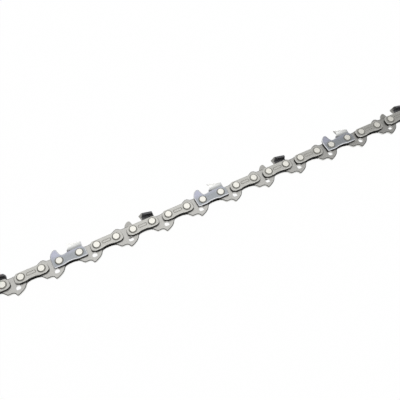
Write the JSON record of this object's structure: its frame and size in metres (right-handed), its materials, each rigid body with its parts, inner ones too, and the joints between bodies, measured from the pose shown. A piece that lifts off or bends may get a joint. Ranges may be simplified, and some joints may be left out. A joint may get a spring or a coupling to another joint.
{
  "type": "chainsaw chain length",
  "caption": "Straight open length of low-profile chainsaw chain: left and right cutters on riveted side plates, drive links with tangs between them, free to bend at every rivet.",
  "frame": {"origin": "middle of the run's box, on the surface that the chain lies on", "axes": "+X along the run, against the way that it cuts, +Y towards the cutters' tops, +Z along the rivets, towards the left-hand plates"},
  "size_m": [0.2568, 0.0144, 0.0059],
  "materials": {
    "strap_steel": "punched and tumbled, satin",
    "link_steel": "punched and tumbled, satin",
    "cutter_chrome": "hard chrome, satin"
  },
  "bodies": {
    "link_01": {"bumper_link_01": "link_steel"},
    "link_02": {"drive_link_02": "link_steel"},
    "link_03": {"bumper_link_03": "link_steel"},
    "link_04": {"drive_link_04": "link_steel"},
    "link_05": {"bumper_link_05": "link_steel"},
    "link_06": {"drive_link_06": "link_steel"},
    "link_07": {"bumper_link_07": "link_steel"},
    "link_08": {"drive_link_08": "link_steel"},
    "link_09": {"bumper_link_09": "link_steel"},
    "link_10": {"drive_link_10": "link_steel"},
    "link_11": {"bumper_link_11": "link_steel"},
    "link_12": {"drive_link_12": "link_steel"},
    "link_13": {"bumper_link_13": "link_steel"},
    "link_14": {"drive_link_14": "link_steel"},
    "pair_01": {"left_strap_01": "strap_steel", "right_cutter_01": "cutter_chrome"},
    "pair_02": {"left_strap_02": "strap_steel", "right_strap_02": "strap_steel"},
    "pair_03": {"left_cutter_03": "cutter_chrome", "right_strap_03": "strap_steel"},
    "pair_04": {"left_strap_04": "strap_steel", "right_strap_04": "strap_steel"},
    "pair_05": {"left_strap_05": "strap_steel", "right_cutter_05": "cutter_chrome"},
    "pair_06": {"left_strap_06": "strap_steel", "right_strap_06": "strap_steel"},
    "pair_07": {"left_cutter_07": "cutter_chrome", "right_strap_07": "strap_steel"},
    "pair_08": {"left_strap_08": "strap_steel", "right_strap_08": "strap_steel"},
    "pair_09": {"left_strap_09": "strap_steel", "right_cutter_09": "cutter_chrome"},
    "pair_10": {"left_strap_10": "strap_steel", "right_strap_10": "strap_steel"},
    "pair_11": {"left_cutter_11": "cutter_chrome", "right_strap_11": "strap_steel"},
    "pair_12": {"left_strap_12": "strap_steel", "right_strap_12": "strap_steel"},
    "pair_13": {"left_strap_13": "strap_steel", "right_cutter_13": "cutter_chrome"}
  },
  "joints": [
    {"name": "rivet_07_rear", "type": "hinge", "parent": "pair_07", "child": "link_08", "pos_m": [0.00496, 0.00015, 0.00295], "axis": [0, 0, 1], "range_deg": [-30, 15]},
    {"name": "rivet_08_front", "type": "hinge", "parent": "link_08", "child": "pair_08", "pos_m": [0.01364, 0.00015, 0.00295], "axis": [0, 0, -1], "range_deg": [-15, 30]},
    {"name": "rivet_08_rear", "type": "hinge", "parent": "pair_08", "child": "link_09", "pos_m": [0.02356, 0.00015, 0.00295], "axis": [0, 0, 1], "range_deg": [-30, 15]},
    {"name": "rivet_09_front", "type": "hinge", "parent": "link_09", "child": "pair_09", "pos_m": [0.03224, 0.00015, 0.00295], "axis": [0, 0, -1], "range_deg": [-15, 30]},
    {"name": "rivet_09_rear", "type": "hinge", "parent": "pair_09", "child": "link_10", "pos_m": [0.04216, 0.00015, 0.00295], "axis": [0, 0, 1], "range_deg": [-30, 15]},
    {"name": "rivet_10_front", "type": "hinge", "parent": "link_10", "child": "pair_10", "pos_m": [0.05084, 0.00015, 0.00295], "axis": [0, 0, -1], "range_deg": [-15, 30]},
    {"name": "rivet_10_rear", "type": "hinge", "parent": "pair_10", "child": "link_11", "pos_m": [0.06076, 0.00015, 0.00295], "axis": [0, 0, 1], "range_deg": [-30, 15]},
    {"name": "rivet_11_front", "type": "hinge", "parent": "link_11", "child": "pair_11", "pos_m": [0.06944, 0.00015, 0.00295], "axis": [0, 0, -1], "range_deg": [-15, 30]},
    {"name": "rivet_11_rear", "type": "hinge", "parent": "pair_11", "child": "link_12", "pos_m": [0.07936, 0.00015, 0.00295], "axis": [0, 0, 1], "range_deg": [-30, 15]},
    {"name": "rivet_12_front", "type": "hinge", "parent": "link_12", "child": "pair_12", "pos_m": [0.08804, 0.00015, 0.00295], "axis": [0, 0, -1], "range_deg": [-15, 30]},
    {"name": "rivet_12_rear", "type": "hinge", "parent": "pair_12", "child": "link_13", "pos_m": [0.09796, 0.00015, 0.00295], "axis": [0, 0, 1], "range_deg": [-30, 15]},
    {"name": "rivet_13_front", "type": "hinge", "parent": "link_13", "child": "pair_13", "pos_m": [0.10664, 0.00015, 0.00295], "axis": [0, 0, -1], "range_deg": [-15, 30]},
    {"name": "rivet_13_rear", "type": "hinge", "parent": "pair_13", "child": "link_14", "pos_m": [0.11656, 0.00015, 0.00295], "axis": [0, 0, 1], "range_deg": [-30, 15]},
    {"name": "rivet_07_front", "type": "hinge", "parent": "pair_07", "child": "link_07", "pos_m": [-0.00496, 0.00015, 0.00295], "axis": [0, 0, 1], "range_deg": [-15, 30]},
    {"name": "rivet_06_rear", "type": "hinge", "parent": "link_07", "child": "pair_06", "pos_m": [-0.01364, 0.00015, 0.00295], "axis": [0, 0, -1], "range_deg": [-30, 15]},
    {"name": "rivet_06_front", "type": "hinge", "parent": "pair_06", "child": "link_06", "pos_m": [-0.02356, 0.00015, 0.00295], "axis": [0, 0, 1], "range_deg": [-15, 30]},
    {"name": "rivet_05_rear", "type": "hinge", "parent": "link_06", "child": "pair_05", "pos_m": [-0.03224, 0.00015, 0.00295], "axis": [0, 0, -1], "range_deg": [-30, 15]},
    {"name": "rivet_05_front", "type": "hinge", "parent": "pair_05", "child": "link_05", "pos_m": [-0.04216, 0.00015, 0.00295], "axis": [0, 0, 1], "range_deg": [-15, 30]},
    {"name": "rivet_04_rear", "type": "hinge", "parent": "link_05", "child": "pair_04", "pos_m": [-0.05084, 0.00015, 0.00295], "axis": [0, 0, -1], "range_deg": [-30, 15]},
    {"name": "rivet_04_front", "type": "hinge", "parent": "pair_04", "child": "link_04", "pos_m": [-0.06076, 0.00015, 0.00295], "axis": [0, 0, 1], "range_deg": [-15, 30]},
    {"name": "rivet_03_rear", "type": "hinge", "parent": "link_04", "child": "pair_03", "pos_m": [-0.06944, 0.00015, 0.00295], "axis": [0, 0, -1], "range_deg": [-30, 15]},
    {"name": "rivet_03_front", "type": "hinge", "parent": "pair_03", "child": "link_03", "pos_m": [-0.07936, 0.00015, 0.00295], "axis": [0, 0, 1], "range_deg": [-15, 30]},
    {"name": "rivet_02_rear", "type": "hinge", "parent": "link_03", "child": "pair_02", "pos_m": [-0.08804, 0.00015, 0.00295], "axis": [0, 0, -1], "range_deg": [-30, 15]},
    {"name": "rivet_02_front", "type": "hinge", "parent": "pair_02", "child": "link_02", "pos_m": [-0.09796, 0.00015, 0.00295], "axis": [0, 0, 1], "range_deg": [-15, 30]},
    {"name": "rivet_01_rear", "type": "hinge", "parent": "link_02", "child": "pair_01", "pos_m": [-0.10664, 0.00015, 0.00295], "axis": [0, 0, -1], "range_deg": [-30, 15]},
    {"name": "rivet_01_front", "type": "hinge", "parent": "pair_01", "child": "link_01", "pos_m": [-0.11656, 0.00015, 0.00295], "axis": [0, 0, 1], "range_deg": [-15, 30]}
  ]
}
